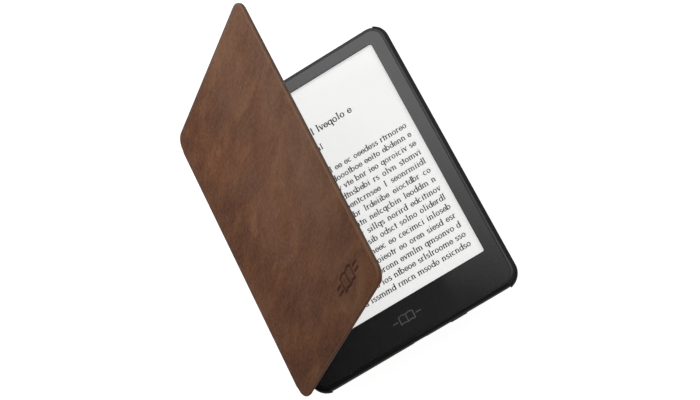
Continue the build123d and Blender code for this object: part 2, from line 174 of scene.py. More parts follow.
def merged(*runs, least=0.02):
    """Sorted values of several runs, dropping any that nearly repeat."""
    kept = []
    for value in sorted(value for run in runs for value in run):
        if not kept or value - kept[-1] > least:
            kept.append(value)
    return kept


def quarter(start, radius, steps, rising=True):
    """Places along s that sample a quarter round evenly; rising means steepest first."""
    angles = [i / steps * math.pi / 2 for i in range(steps + 1)]
    if rising:
        return [start + radius * (1 - math.cos(a)) for a in angles]
    return [start + radius * math.sin(a) for a in angles]


def outline_normals(points, turn):
    """Outward direction at each point of an open outline; turn is 1 if it runs clockwise."""
    normals = []
    last = len(points) - 1
    for i, point in enumerate(points):
        if i in (0, last):
            normals.append(Vector((0.0, 1.0 if i == 0 else -1.0)))
            continue
        along = points[i + 1] - points[i - 1]
        normals.append(Vector((-along.y, along.x)).normalized() * turn)
    return normals


def build_sheet(name, columns, rows, half_height, rings, top, bottom, place):
    """Closed mesh of a sheet whose first column is a flat cut and whose other sides are edged.

    rows are shares of each column's half height, from 1 down to -1. rings lists the edge's
    profile as functions of s that give (offset outwards, depth). UVs hold the unrolled place.
    """
    vertices, unrolled, rub_and_highlight = [], [], []

    def add(s, y, depth, edge=0.0):
        vertices.append(place(s, y, depth))
        unrolled.append((s / UNROLLED_UNIT, y / UNROLLED_UNIT))
        rub_and_highlight.append(edge)
        return len(vertices) - 1

    def grid(depth_at):
        made = []
        for s in columns:
            half = half_height(s)
            made.append([add(s, share * half, depth_at(s, share * half)) for share in rows])
        return made

    upper, lower = grid(top), grid(bottom)
    last_column, last_row = len(columns) - 1, len(rows) - 1
    rim = [(i, 0) for i in range(last_column + 1)]
    rim += [(last_column, j) for j in range(1, last_row)]
    rim += [(i, last_row) for i in range(last_column, -1, -1)]
    flat = [Vector((columns[i], rows[j] * half_height(columns[i]))) for i, j in rim]
    normals = outline_normals(flat, 1 if columns[-1] > columns[0] else -1)
    loops = [[upper[i][j] for i, j in rim]]
    for k, ring in enumerate(rings):
        # Rubbing that pales the edge, also a painted highlight on the rounded edge, fading towards the inner side.
        edge_rub_and_highlight = 1.0 - RUB_AND_HIGHLIGHT_FADE * k / (len(rings) - 1)
        loop = []
        for point, normal in zip(flat, normals):
            offset, depth = ring(point.x)
            out = point + normal * offset
            loop.append(add(out.x, out.y, depth, edge_rub_and_highlight))
        loops.append(loop)
    loops.append([lower[i][j] for i, j in rim])

    faces = []
    for i in range(last_column):
        for j in range(last_row):
            faces.append((upper[i][j], upper[i][j + 1], upper[i + 1][j + 1], upper[i + 1][j]))
            faces.append((lower[i][j], lower[i + 1][j], lower[i + 1][j + 1], lower[i][j + 1]))
    for outer, inner in zip(loops, loops[1:]):
        for k in range(len(rim) - 1):
            faces.append((outer[k], outer[k + 1], inner[k + 1], inner[k]))
    for j in range(last_row):
        faces.append((upper[0][j], lower[0][j], lower[0][j + 1], upper[0][j + 1]))
    faces.append(tuple(loop[0] for loop in loops))
    faces.append(tuple(loop[-1] for loop in reversed(loops)))
    return finished_mesh(name, vertices, faces, unrolled, rub_and_highlight)


def finished_mesh(name, vertices, faces, unrolled=None, rub_and_highlight=None):
    """Object from lists, with outward normals, smooth shading and the unrolled UVs."""
    mesh = bpy.data.meshes.new(name)
    mesh.from_pydata(vertices, [], faces)
    if rub_and_highlight:
        mesh.attributes.new("rub_and_highlight", "FLOAT", "POINT").data.foreach_set("value", rub_and_highlight)
    if unrolled:
        layer = mesh.uv_layers.new(name="Unrolled")
        for loop in mesh.loops:
            layer.data[loop.index].uv = unrolled[loop.vertex_index]
    work = bmesh.new()
    work.from_mesh(mesh)
    bmesh.ops.remove_doubles(work, verts=work.verts, dist=1e-6)
    bmesh.ops.dissolve_degenerate(work, edges=work.edges, dist=1e-7)
    bmesh.ops.recalc_face_normals(work, faces=work.faces)
    for edge in work.edges:
        edge.smooth = len(edge.link_faces) != 2 or edge.calc_face_angle(0) < SHARP_EDGE
    for face in work.faces:
        face.smooth = True
    work.to_mesh(mesh)
    work.free()
    piece = bpy.data.objects.new(name, mesh)
    bpy.context.scene.collection.objects.link(piece)
    return piece


# ---- the cover's outlines

CREASE_GAP = 0.06  # round spine edge to its neighbour
FLAP_START = SPINE + LEATHER / 2 + CREASE_GAP
FLAP_END = SPINE + FLAP_LENGTH
BACK_HIGH = mm_box("back_leather")[1]
BACK_START = CREASE_A.x + BACK_HIGH.x
BACK_END = -(BACK_HIGH.x - CREASE_A.x)
BACK_HALF = BACK_HIGH.y
BACK_CORNER_R = 6.1
MID_SPINE = SPINE / 2
CREASE_STEP = 0.45  # mesh spacing where the sheets bend
HOLLOW_STEPS = 7
CORNER_STEPS = 14


def waisted_half(run, inset, start, end, full, radius):
    """Half height of a panel joined to the spine: waist, hollow, corner, side, corner.

    run grows from the spine outwards; start and end are the panel's own limits along it.
    """
    waist, hollow = WAIST_HALF - inset, WAIST_R + inset
    full, radius = full - inset, radius - inset
    start, end = start + inset, end - inset
    if run < start:
        into = max(0.0, run - (start - hollow))
        return waist + hollow - math.sqrt(hollow ** 2 - min(into, hollow) ** 2)
    if run < start + radius:
        reach = start + radius - run
        corner = full - radius + math.sqrt(max(0.0, radius ** 2 - reach ** 2))
        return max(corner, min(full, waist + hollow))
    reach = max(0.0, run - (end - radius))
    return full - radius + math.sqrt(max(0.0, radius ** 2 - min(reach, radius) ** 2))


def flap_half(inset):
    """Half height of the flap and the spine's upper half, drawn in by an inset."""
    return lambda s: waisted_half(s, inset, FLAP_START, FLAP_END, COVER_HALF, FLAP_CORNER_R)


def flap_point(s, y, depth):
    """Unrolled place on the spine's upper half or the flap, which is offset along y."""
    offset = FLAP_Y * smooth((s - MID_SPINE) / (FLAP_START - MID_SPINE))
    return cover_point(s, y + offset, depth)


def back_half(inset):
    """Half height of the panel under the reader and the spine's lower half."""
    return lambda s: waisted_half(-s, inset, -BACK_START, -BACK_END, BACK_HALF, BACK_CORNER_R)


def panel_columns(inset, start, end, radius, first, step):
    """Places across a panel, close together at the creases and round the corners."""
    start, end, radius = start + inset, end - inset, radius - inset
    hollow = WAIST_R + inset
    return merged(
        spread(first, start - hollow, CREASE_STEP),
        quarter(start - hollow, hollow, HOLLOW_STEPS, rising=False),
        quarter(start, radius, CORNER_STEPS),
        spread(start + radius, end - radius, step),
        quarter(end - radius, radius, CORNER_STEPS, rising=False),
    )


def row_shares(half, step, extra=()):
    """Row places as shares of the half height, from 1 down to -1."""
    rows = merged(spread(-half, half, step), extra)
    return [value / half for value in reversed(rows)]


# ---- the pressed-in mark

MARK_S, MARK_Y = SPINE + 102.0, -70.85
MARK_W, MARK_H = 15.6, 5.8  # half sizes of the finely meshed patch
MARK_STEP = 0.24
PRESS_DEPTH = 0.36
FULL_HALF, FADE = 0.34, 0.42  # a line's fully pressed half width, and its sides


def open_book(size=1.0):
    """Line pairs of a plain open-book sign, about 11 by 7 at size 1, centred on the origin."""
    lines = [((0.0, -3.0 * size), (0.0, 2.6 * size))]
    for side in (-1, 1):
        page = [(0.0, 2.6), (2.6, 3.4), (5.4, 2.8), (5.4, -2.9), (2.6, -2.3), (0.0, -3.0)]
        page = [(side * x * size, y * size) for x, y in page]
        lines += list(zip(page, page[1:]))
    return lines


def flourish():
    """The book between two pairs of dashes."""
    lines = open_book(1.35)
    for side in (-1, 1):
        for y in (-1.6, 1.6):
            lines.append(((side * 9.6, y), (side * 14.6, y)))
    return lines


def distance_to(point, lines):
    """Shortest distance from a point to a list of line pairs."""
    best = 1e9
    for start, end in lines:
        a, b = Vector(start), Vector(end)
        along = b - a
        share = max(0.0, min(1.0, (point - a).dot(along) / along.length_squared))
        best = min(best, (point - a - along * share).length)
    return best


MARK_LINES = flourish()


def pressed(s, y):
    """How deep the mark is pressed at this place, 0 to 1."""
    local = Vector((s - MARK_S, y - MARK_Y))
    if abs(local.x) > MARK_W + 1 or abs(local.y) > MARK_H:
        return 0.0
    return 1.0 - smooth((distance_to(local, MARK_LINES) - FULL_HALF) / FADE)


# ---- leather skins

SHEET_STEP, SHEET_ROW = 1.5, 1.6  # mesh spacing across and along the skins
RING_STEPS = 5


def over_board(s, start, run):
    """0 over the spine and creases, 1 over the flap's board."""
    return smooth((s - SPINE - start) / run)


def leather_rings(depth_at):
    """Rounded outer edge, wrapped down the side and turned under."""
    rings = []
    for k in range(1, RING_STEPS + 1):
        angle = k / RING_STEPS * math.pi / 2
        rings.append(lambda s, a=angle: (EDGE_R * math.sin(a), EDGE_R * (1 - math.cos(a))))
    for offset, back in ((EDGE_R, 0.3), (EDGE_R - 0.08, 0.1), (EDGE_R - 0.3, 0.0), (0.05, 0.0)):
        rings.append(lambda s, o=offset, b=back: (o, depth_at(s) - b))
    return rings


def soft_relief(s, y):
    """Slight unevenness of hide over its board, in millimetres."""
    slow = math.sin(s * 0.071 + 1.3 * math.sin(y * 0.037)) * math.sin(y * 0.053 + 0.8)
    quick = math.sin(s * 0.31 + y * 0.17) * math.sin(y * 0.27 - s * 0.11 + 1.0)
    return 0.045 * slow + 0.02 * quick


def front_skin():
    """Outer leather from the middle of the spine over the flap."""
    columns = merged(
        panel_columns(EDGE_R, FLAP_START, FLAP_END, FLAP_CORNER_R, MID_SPINE, SHEET_STEP),
        spread(MARK_S - MARK_W, MARK_S + MARK_W, MARK_STEP),
        least=0.05,
    )
    fine_rows = spread(MARK_Y - MARK_H, MARK_Y + MARK_H, MARK_STEP)
    rows = row_shares(COVER_HALF - EDGE_R, SHEET_ROW, fine_rows)

    def top(s, y):
        away = smooth((s - SPINE - 4) / 8)
        return PRESS_DEPTH * pressed(s, y) + away * soft_relief(s, y)

    def rim_depth(s):
        return LEATHER + (WRAP_DEPTH - LEATHER) * over_board(s, 1.0, 2.6)

    skin = build_sheet("front_cover_leather", columns, rows, flap_half(EDGE_R),
                       leather_rings(rim_depth), top, lambda s, y: LEATHER, flap_point)
    mark_attribute(skin)
    return skin


def mark_attribute(skin):
    """Stores where the mark is pressed, so that the leather can be burnished there."""
    unrolled = [tuple(corner.uv) for corner in skin.data.uv_layers["Unrolled"].data]
    values = [pressed(u * UNROLLED_UNIT, v * UNROLLED_UNIT) for u, v in unrolled]
    skin.data.attributes.new("pressed", "FLOAT", "CORNER").data.foreach_set("value", values)


TRAY_BACK_R = 6.7  # rounding between the tray's back and sides
TRAY_CURVE_INSET = 6.0
READER_HIGH = mm_box("rear_shell")[1]


def back_lift(x, y):
    """How far the back leather curves up with the tray's rounded edge."""
    right = READER_HIGH.x - x
    side = READER_HIGH.y - abs(y)
    if right < CORNER_R and side < CORNER_R:
        inset = CORNER_R - math.hypot(CORNER_R - right, CORNER_R - side)
    else:
        inset = min(right, side)
    into = min(TRAY_CURVE_INSET, max(0.0, TRAY_CURVE_INSET - inset))
    radius = TRAY_BACK_R + LEATHER
    return radius - math.sqrt(radius ** 2 - into ** 2)


def back_point(s, y, depth):
    """Unrolled place under the reader or on the spine's lower half."""
    point = cover_point(s, y, depth)
    if s < 0:
        point.z += back_lift(point.x / MM, y) * smooth((-s - 3) / 6) * MM
    return point


def back_skin():
    """Leather under the reader, bending up into the lower half of the spine."""
    runs = panel_columns(EDGE_R, -BACK_START, -BACK_END, BACK_CORNER_R, -MID_SPINE, SHEET_STEP)
    columns = [-run for run in runs]
    rows = row_shares(BACK_HALF - EDGE_R, SHEET_ROW)
    rings = leather_rings(lambda s: LEATHER)
    return build_sheet("back_cover_leather", columns, rows, back_half(EDGE_R),
                       rings, lambda s, y: 0.0, lambda s, y: LEATHER, back_point)


# ---- linings

LINING_EDGE_R = 0.22
LINING_INSET = LINING_EDGE_R + 0.15  # its grid's edge, in from the leather's
LINING_STEP, LINING_ROW = 2.2, 2.6
STRIP_STEP, STRIP_START, STRIP_INSET = 0.4, -1.0, 0.5  # the spine's own thin strip
GLUE = 0.02


def lining_rings(depth, thick):
    """Rounded edge of a soft lining, from its glued face to its bare face."""
    rings = []
    for k in range(7):
        angle = math.pi * k / 6
        fall = (1 - math.cos(angle)) / 2
        out = LINING_EDGE_R * math.sin(angle)
        rings.append(lambda s, o=out, f=fall: (o, depth(s) + f * thick(s)))
    return rings


def front_lining():
    """Lining from the middle of the spine to the free edge; it steps down onto the board."""
    def depth(s):
        return LEATHER + BOARD * over_board(s, 1.2, 2.2)

    def thick(s):
        return SPINE_LINING + (LINING - SPINE_LINING) * over_board(s, 1.2, 2.2)

    def half(s):
        full = COVER_HALF - 0.1
        return waisted_half(s, LINING_INSET, FLAP_START, FLAP_END, full, FLAP_CORNER_R)

    columns = panel_columns(LINING_INSET, FLAP_START, FLAP_END, FLAP_CORNER_R, MID_SPINE,
                            LINING_STEP)
    rows = row_shares(COVER_HALF, LINING_ROW)
    return build_sheet("front_cover_lining", columns, rows, half, lining_rings(depth, thick),
                       lambda s, y: depth(s), lambda s, y: depth(s) + thick(s), flap_point)


def spine_lining():
    """Thin lining from the reader's edge to the middle of the spine."""
    columns = list(reversed(spread(STRIP_START, MID_SPINE, STRIP_STEP)))
    rows = row_shares(WAIST_HALF, LINING_ROW)
    rings = lining_rings(lambda s: LEATHER + GLUE, lambda s: SPINE_LINING)
    return build_sheet("spine_inner_lining", columns, rows, lambda s: WAIST_HALF - STRIP_INSET,
                       rings, lambda s, y: LEATHER + GLUE, lambda s, y: LEATHER + SPINE_LINING,
                       cover_point)


def bend_between(piece, a, b, middle, replaced):
    """Bakes a cover sheet's transform into its mesh and hides the stiff CAD sheets it replaces."""
    start = cover_point(middle - FOLD_REACH, 0.0, LEATHER / 2)
    end = cover_point(middle + FOLD_REACH, 0.0, LEATHER / 2)
    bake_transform(piece)
    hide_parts(*replaced)


# ---- printed marks and page

STEM, HAIR = 0.26, 0.15  # stroke widths, in x-heights


def bar(x0, y0, x1, y1, width=STEM):
    """Straight stroke as a list of left and right points."""
    along = Vector((x1 - x0, y1 - y0)).normalized() * (width / 2)
    across = Vector((-along.y, along.x))
    ends = (Vector((x0, y0)), Vector((x1, y1)))
    return [(end + across, end - across) for end in ends]


def bowl(x, y, rx, ry, start, stop, width=STEM):
    """Curved stroke, thick where it runs upright and thin where it runs level."""
    steps = max(3, round(abs(stop - start) / 30))
    pairs = []
    for k in range(steps + 1):
        angle = math.radians(start + (stop - start) * k / steps)
        half = (HAIR + (width - HAIR) * abs(math.cos(angle))) / 2
        unit = Vector((math.cos(angle), math.sin(angle)))
        out = Vector((x + (rx + half) * unit.x, y + (ry + half) * unit.y))
        inner = Vector((x + (rx - half) * unit.x, y + (ry - half) * unit.y))
        pairs.append((out, inner))
    return pairs


def foot(x, y):
    """Short level stroke that ends a stem."""
    return bar(x - 0.19, y, x + 0.19, y, HAIR)


def upright(x, low, high):
    """Stem with a foot at each end."""
    return [bar(x, low, x, high), foot(x, low + HAIR / 2), foot(x, high - HAIR / 2)]


# Each sign gives its width and its strokes, for an x-height of 1.

def sign_arch(count):
    """Stem followed by one or two arches."""
    span = 0.58
    strokes = upright(0.2, 0.0, 1.0)
    for i in range(count):
        left = 0.2 + span * i
        right = left + span
        strokes.append(bowl(left + span / 2, 0.66, span / 2, 0.3, 180, 0))
        strokes.append(bar(right, 0.0, right, 0.68))
        strokes.append(foot(right, HAIR / 2))
    return 0.45 + span * count, strokes


def sign_round(stem=None, low=0.0, high=1.0):
    """Ring, with or without a stem."""
    strokes = [bowl(0.48, 0.5, 0.36, 0.46, 0, 360)]
    if stem is not None:
        strokes += upright(stem, low, high)
    return 1.0, strokes


def sign_open(bar_at=None, gap=50):
    """Ring open to the right, with or without a level bar."""
    strokes = [bowl(0.46, 0.5, 0.36, 0.46, gap, 360 - gap * 0.9)]
    if bar_at is not None:
        strokes.append(bar(0.12, bar_at, 0.8, bar_at, HAIR))
    return 0.88, strokes


def sign_post(high, dot=False, cross=False):
    """Single stem, with or without a dot or a cross stroke."""
    strokes = upright(0.28, 0.0, high)
    if dot:
        strokes.append(bowl(0.28, 1.38, 0.05, 0.05, 0, 360, 0.12))
    if cross:
        strokes.append(bar(0.0, 0.95, 0.6, 0.95, HAIR))
    return 0.56, strokes


def sign_wave():
    """Two bowls that turn opposite ways."""
    return 0.74, [bowl(0.38, 0.74, 0.24, 0.22, 20, 270), bowl(0.38, 0.27, 0.26, 0.24, 90, -160)]


def sign_hook():
    """Stem with a short arm."""
    return 0.7, upright(0.2, 0.0, 1.0) + [bowl(0.48, 0.66, 0.26, 0.3, 170, 50)]


def sign_wedge():
    """Two slanted strokes that meet on the line."""
    arms = [bar(0.12, 1.0, 0.44, 0.0), bar(0.44, 0.0, 0.76, 1.0, HAIR)]
    return 0.86, arms + [foot(0.12, 0.96), foot(0.76, 0.96)]


SIGNS_AND_WEIGHTS = [
    (sign_arch(1), 7), (sign_arch(2), 2), (sign_round(), 10), (sign_round(0.84, 0.0, 1.6), 5),
    (sign_round(0.12, 0.0, 1.6), 2), (sign_round(0.84, -0.5, 1.0), 2), (sign_open(0.55, 8), 12),
    (sign_open(), 4), (sign_post(1.6), 6), (sign_post(1.0, dot=True), 7),
    (sign_post(1.35, cross=True), 5), (sign_wave(), 8), (sign_hook(), 7), (sign_wedge(), 2),
]
SIGNS, SIGN_WEIGHTS = zip(*SIGNS_AND_WEIGHTS)
WORD_LENGTHS = (1, 2, 2, 2, 3, 3, 4, 5, 6, 6, 7, 8, 9, 10)


class Ink:
    """Collects flat strokes as thin closed prisms."""

    def __init__(self, low, high):
        self.low, self.high = low, high
        self.vertices, self.faces = [], []

    def strip(self, pairs):
        """Adds one stroke, given as left and right points along it."""
        base = len(self.vertices)
        for left, right in pairs:
            for z in (self.low, self.high):
                self.vertices.append((left.x * MM, left.y * MM, z * MM))
                self.vertices.append((right.x * MM, right.y * MM, z * MM))
        for k in range(len(pairs) - 1):
            a, b = base + 4 * k, base + 4 * (k + 1)
            self.faces += [(a + 2, a + 3, b + 3, b + 2), (a, b, b + 1, a + 1)]
            self.faces += [(a, a + 2, b + 2, b), (a + 1, b + 1, b + 3, a + 3)]
        end = base + 4 * (len(pairs) - 1)
        self.faces += [(base, base + 1, base + 3, base + 2), (end, end + 2, end + 3, end + 1)]

    def sign(self, strokes, x, y, size):
        """Adds a sign's strokes, scaled and moved to its place."""
        move = Vector((x, y))
        for pairs in strokes:
            self.strip([(left * size + move, right * size + move) for left, right in pairs])

    def piece(self, name):
        return finished_mesh(name, self.vertices, self.faces)


PAGE_MARGIN = 49.0
LINE_PITCH = 6.14
FIRST_LINE = 23.0  # baseline of the first full line
LINE_COUNT = 14
X_HEIGHT = 2.4
TRACKING = 0.07  # added after each sign, in x-heights
WORD_SPACE = 0.62  # least space between words, in x-heights
LINE_TAIL = 12  # x-heights left when the last words are fitted
TITLE_BASE, TITLE_HALF, TITLE_X_HEIGHT = 48.9, 26.0, 2.9
BYLINE_BASE, BYLINE_END, BYLINE_START = 38.4, 1.8, -27.0


def random_word(dice):
    """List of signs, common ones more often."""
    return dice.choices(SIGNS, SIGN_WEIGHTS, k=dice.choice(WORD_LENGTHS))


def word_width(word, size):
    """Width of a word, in millimetres."""
    return sum(width + TRACKING for width, strokes in word) * size


def fill_line(dice, width, size):
    """Words that nearly fill the width, with the best of several tries for the last ones."""
    space = size * WORD_SPACE
    words, left = [], width + space
    while left > LINE_TAIL * size:
        words.append(random_word(dice))
        left -= word_width(words[-1], size) + space
    for _ in range(4):
        tries = [random_word(dice) for _ in range(8)]
        fitting = [word for word in tries if word_width(word, size) + space <= left]
        if not fitting:
            break
        words.append(max(fitting, key=lambda word: word_width(word, size)))
        left -= word_width(words[-1], size) + space
    return words


def set_line(ink, dice, left, right, base, size):
    """Justified line of invented signs."""
    words = fill_line(dice, right - left, size)
    spare = right - left - sum(word_width(word, size) for word in words)
    space = spare / max(1, len(words) - 1)
    x = left
    for word in words:
        for width, strokes in word:
            ink.sign(strokes, x, base, size)
            x += (width + TRACKING) * size
        x += space


def page_text():
    """A page of invented signs, standing a hair above the panel."""
    dice = random.Random(12)
    top = mm_box("eink_panel")[1].z
    ink = Ink(top + 0.01, top + 0.03)
    set_line(ink, dice, -TITLE_HALF, TITLE_HALF, TITLE_BASE, TITLE_X_HEIGHT)
    set_line(ink, dice, BYLINE_START, BYLINE_END, BYLINE_BASE, X_HEIGHT)
    for i in range(LINE_COUNT):
        base = FIRST_LINE - i * LINE_PITCH
        set_line(ink, dice, -PAGE_MARGIN, PAGE_MARGIN, base, X_HEIGHT)
    return ink.piece("page_signs")


BEZEL_X, BEZEL_Y = -0.45, -74.6
BEZEL_SIZE, BEZEL_LINE = 0.8, 0.72


def bezel_mark():
    """Printed open-book sign with a dash on each side, below the screen."""
    top = mm_box("cover_lens")[1].z
    ink = Ink(top - 0.01, top + 0.01)
    dashes = [((side * 6.9, 0.0), (side * 10.9, 0.0)) for side in (-1, 1)]
    for start, end in open_book() + dashes:
        ink.sign([bar(*start, *end, BEZEL_LINE)], BEZEL_X, BEZEL_Y, BEZEL_SIZE)
    return ink.piece("bezel_mark")


# ---- material helpers

def linear(colour):
    """Screen colour (0 to 255) to the linear values that shaders use."""
    shares = [value / 255 for value in colour]
    return tuple(c / 12.92 if c <= 0.04045 else ((c + 0.055) / 1.055) ** 2.4 for c in shares)


class Nodes:
    """A small builder around one shader node tree."""

    def __init__(self, tree):
        self.tree = tree

    def node(self, kind, **settings):
        made = self.tree.nodes.new("ShaderNode" + kind)
        for key, value in settings.items():
            setattr(made, key, value)
        return made

    def link(self, output, target):
        self.tree.links.new(output, target)

    def place(self, stretch=(1, 1, 1), unrolled=False, turn=0.0):
        """Coordinates in millimetres, or in unrolled units of 100 mm, turned, then stretched."""
        source = self.node("TexCoord").outputs["UV" if unrolled else "Object"]
        turned = self.node("Mapping")
        turned.inputs["Rotation"].default_value[2] = math.radians(turn)
        self.link(source, turned.inputs["Vector"])
        mapping = self.node("Mapping")
        size = 1 if unrolled else 1 / MM
        mapping.inputs["Scale"].default_value = [size * value for value in stretch]
        self.link(turned.outputs["Vector"], mapping.inputs["Vector"])
        return mapping.outputs["Vector"]

    def texture(self, kind, place, values, **settings):
        """Outputs of a texture node whose inputs have the given values."""
        made = self.node("Tex" + kind, **settings)
        for key, value in values.items():
            made.inputs[key].default_value = value
        self.link(place, made.inputs["Vector"])
        return made.outputs

    def noise(self, place, scale, detail=3.0, rough=0.5, twist=0.0):
        values = {"Scale": scale, "Detail": detail, "Roughness": rough, "Distortion": twist}
        return self.texture("Noise", place, values)["Fac"]

    def cells(self, place, scale, feature="F1", output="Distance"):
        return self.texture("Voronoi", place, {"Scale": scale}, feature=feature)[output]

    def waves(self, place, scale, twist, direction="X"):
        values = {"Scale": scale, "Distortion": twist}
        return self.texture("Wave", place, values, bands_direction=direction)["Fac"]

    def ramp(self, value, stops):
        """Colour ramp from (place, screen colour) stops."""
        made = self.node("ValToRGB")
        elements = made.color_ramp.elements
        while len(elements) < len(stops):
            elements.new(0.5)
        for element, (place, colour) in zip(elements, stops):
            element.position = place
            element.color = (*linear(colour), 1)
        self.link(value, made.inputs["Fac"])
        return made.outputs["Color"]

    def tones(self, value, dark, light, low=0.3, high=0.7):
        """Ramp between two screen colours."""
        return self.ramp(value, ((low, dark), (high, light)))

    def range(self, value, low, high, new_low=0.0, new_high=1.0):
        """Maps low to high onto new_low to new_high, clamped."""
        made = self.node("MapRange")
        ends = {"From Min": low, "From Max": high, "To Min": new_low, "To Max": new_high}
        for key, number in ends.items():
            made.inputs[key].default_value = number
        self.link(value, made.inputs["Value"])
        return made.outputs["Result"]

    def mix(self, share, a, b):
        """Mix two colours; share is a number or a socket, a and b are sockets or colours."""
        made = self.node("Mix", data_type="RGBA")
        self.feed(share, made.inputs[0])
        self.feed(a, made.inputs[6])
        self.feed(b, made.inputs[7])
        return made.outputs[2]

    def feed(self, value, target):
        """Connects a socket, or sets a colour or number."""
        if isinstance(value, bpy.types.NodeSocket):
            self.link(value, target)
        elif isinstance(value, tuple):
            target.default_value = (*linear(value), 1)
        else:
            target.default_value = value

    def math(self, how, a, b=0.0):
        made = self.node("Math", operation=how)
        self.feed(a, made.inputs[0])
        self.feed(b, made.inputs[1])
        return made.outputs[0]

    def times(self, *values):
        """Product of several numbers or sockets."""
        total = values[0]
        for value in values[1:]:
            total = self.math("MULTIPLY", total, value)
        return total

    def axes(self, place):
        """The X, Y and Z outputs of a vector."""
        split = self.node("SeparateXYZ")
        self.link(place, split.inputs["Vector"])
        return split.outputs

    def blend(self, share, a, b):
        """Mix two shader nodes."""
        made = self.node("MixShader")
        self.feed(share, made.inputs[0])
        self.link(a.outputs[0], made.inputs[1])
        self.link(b.outputs[0], made.inputs[2])
        return made

    def attribute(self, name):
        return self.node("Attribute", attribute_name=name).outputs["Fac"]

    def bump(self, height, distance, under=None):
        """Surface relief of the given height in millimetres."""
        made = self.node("Bump")
        made.inputs["Strength"].default_value = 1.0
        made.inputs["Distance"].default_value = distance * MM
        self.link(height, made.inputs["Height"])
        if under is not None:
            self.link(under, made.inputs["Normal"])
        return made.outputs["Normal"]


class Paint(Nodes):
    """A surface material being built."""

    def __init__(self, name, roughness=0.5, metallic=0.0):
        self.material = bpy.data.materials.new(name)
        self.material.use_nodes = True
        super().__init__(self.material.node_tree)
        self.surface = self.tree.nodes["Principled BSDF"]
        self.surface.inputs["Roughness"].default_value = roughness
        self.surface.inputs["Metallic"].default_value = metallic

    def finish(self, colour=None, normal=None, roughness=None, **others):
        """Feeds the surface's inputs; other inputs are named with _ for spaces."""
        named = {"Base Color": colour, "Normal": normal, "Roughness": roughness}
        named.update({key.replace("_", " "): value for key, value in others.items()})
        for key, value in named.items():
            if value is not None:
                self.feed(value, self.surface.inputs[key])
        return self.material

    def output(self, shader):
        """Shows this shader instead of the plain surface."""
        self.link(shader.outputs[0], self.tree.nodes["Material Output"].inputs["Surface"])
        return self.material


# ---- materials

def leather():
    """Waxed brown hide: clouds, streaks, pebbled grain, rubbing edges with a painted highlight, a painted sheen
    towards the top of the free edge, and a burnished mark.
    """
    paint = Paint("brown_leather")
    flat = paint.place(unrolled=True)
    drawn = paint.place((1.0, 2.3, 1.0), unrolled=True, turn=-8)
    streaky = paint.place((1.0, 4.0, 1.0), unrolled=True, turn=-4)
    clouds = paint.noise(drawn, 2.9, 6.0, 0.62, 0.4)
    hide = streaked(paint, waxed(paint, clouds, flat), streaky)
    hide = used(paint, specked(paint, hide, flat))
    folds = paint.noise(streaky, 22.0, 5.0, 0.6, 0.5)
    normal = paint.bump(paint.cells(flat, 120.0), 0.05, paint.bump(folds, 0.12))
    normal = paint.bump(paint.noise(flat, 320.0, 3.0, 0.6), 0.03, normal)
    rough = paint.range(clouds, 0.3, 0.7, 0.74, 0.62)
    return paint.finish(hide, normal, rough, Specular_IOR_Level=0.12)


def waxed(paint, clouds, flat):
    """Uneven dye: dark to tan clouds, rusty patches, and grey haze where wax is thin; over it a painted sheen,
    paler and greyer towards the top of the free edge.
    """
    hide = paint.ramp(clouds, ((0.28, (62, 31, 19)), (0.44, (89, 50, 31)),
                               (0.57, (113, 69, 41)), (0.74, (146, 101, 66))))
    rust = paint.range(paint.noise(flat, 1.7, 4.0, 0.5, 0.3), 0.46, 0.72)
    hide = paint.mix(paint.times(rust, 0.5), hide, (124, 69, 35))
    haze = paint.range(paint.noise(flat, 2.2, 3.0, 0.5, 0.5), 0.45, 0.68, 0.0, 0.3)
    hide = paint.mix(haze, hide, (140, 106, 86))
    # painted sheen: a pale grey-tan laid over the hide towards the top of the free edge
    return paint.mix(painted_sheen(paint, flat), hide, (150, 122, 106))


def painted_sheen(paint, flat):
    """Share of the painted sheen: more towards the top of the free edge, in patches."""
    place = paint.axes(flat)
    out = paint.range(place["X"], 0.35, 1.25)
    up = paint.range(place["Y"], -0.9, 0.1)
    patchy = paint.range(paint.noise(flat, 2.6, 5.0, 0.6, 0.6), 0.32, 0.68, 0.3, 1.0)
    return paint.times(out, up, patchy, 0.52)


def streaked(paint, hide, streaky):
    """Dark veins and fine pulled streaks, along the hide's stretch."""
    veins = paint.range(paint.noise(streaky, 2.3, 7.0, 0.66, 0.9), 0.30, 0.47, 0.5, 0.0)
    hide = paint.mix(veins, hide, (62, 35, 26))
    pull = paint.range(paint.noise(streaky, 12.0, 6.0, 0.72, 0.4), 0.3, 0.7)
    return paint.mix(0.15, hide, paint.tones(pull, (54, 31, 22), (148, 104, 72), 0.0, 1.0))


def specked(paint, hide, flat):
    """Fine speckle and dark pores."""
    speck = paint.range(paint.noise(flat, 44.0, 6.0, 0.78), 0.3, 0.7)
    hide = paint.mix(0.34, hide, paint.tones(speck, (46, 25, 17), (148, 110, 88), 0.0, 1.0))
    pores = paint.range(paint.cells(flat, 210.0), 0.0, 0.18, 1.0, 0.0)
    return paint.mix(paint.times(pores, 0.3), hide, (62, 42, 33))


def used(paint, hide):
    """Edges pale from rubbing and from a painted highlight on the rounded edge, and the pressed mark burnished
    dark.
    """
    # Pale edges: partly rubbing, partly a painted highlight on the rounded edge.
    hide = paint.mix(paint.times(paint.attribute("rub_and_highlight"), 0.55), hide, (146, 116, 94))
    return paint.mix(paint.times(paint.attribute("pressed"), 0.7), hide, (52, 34, 27))


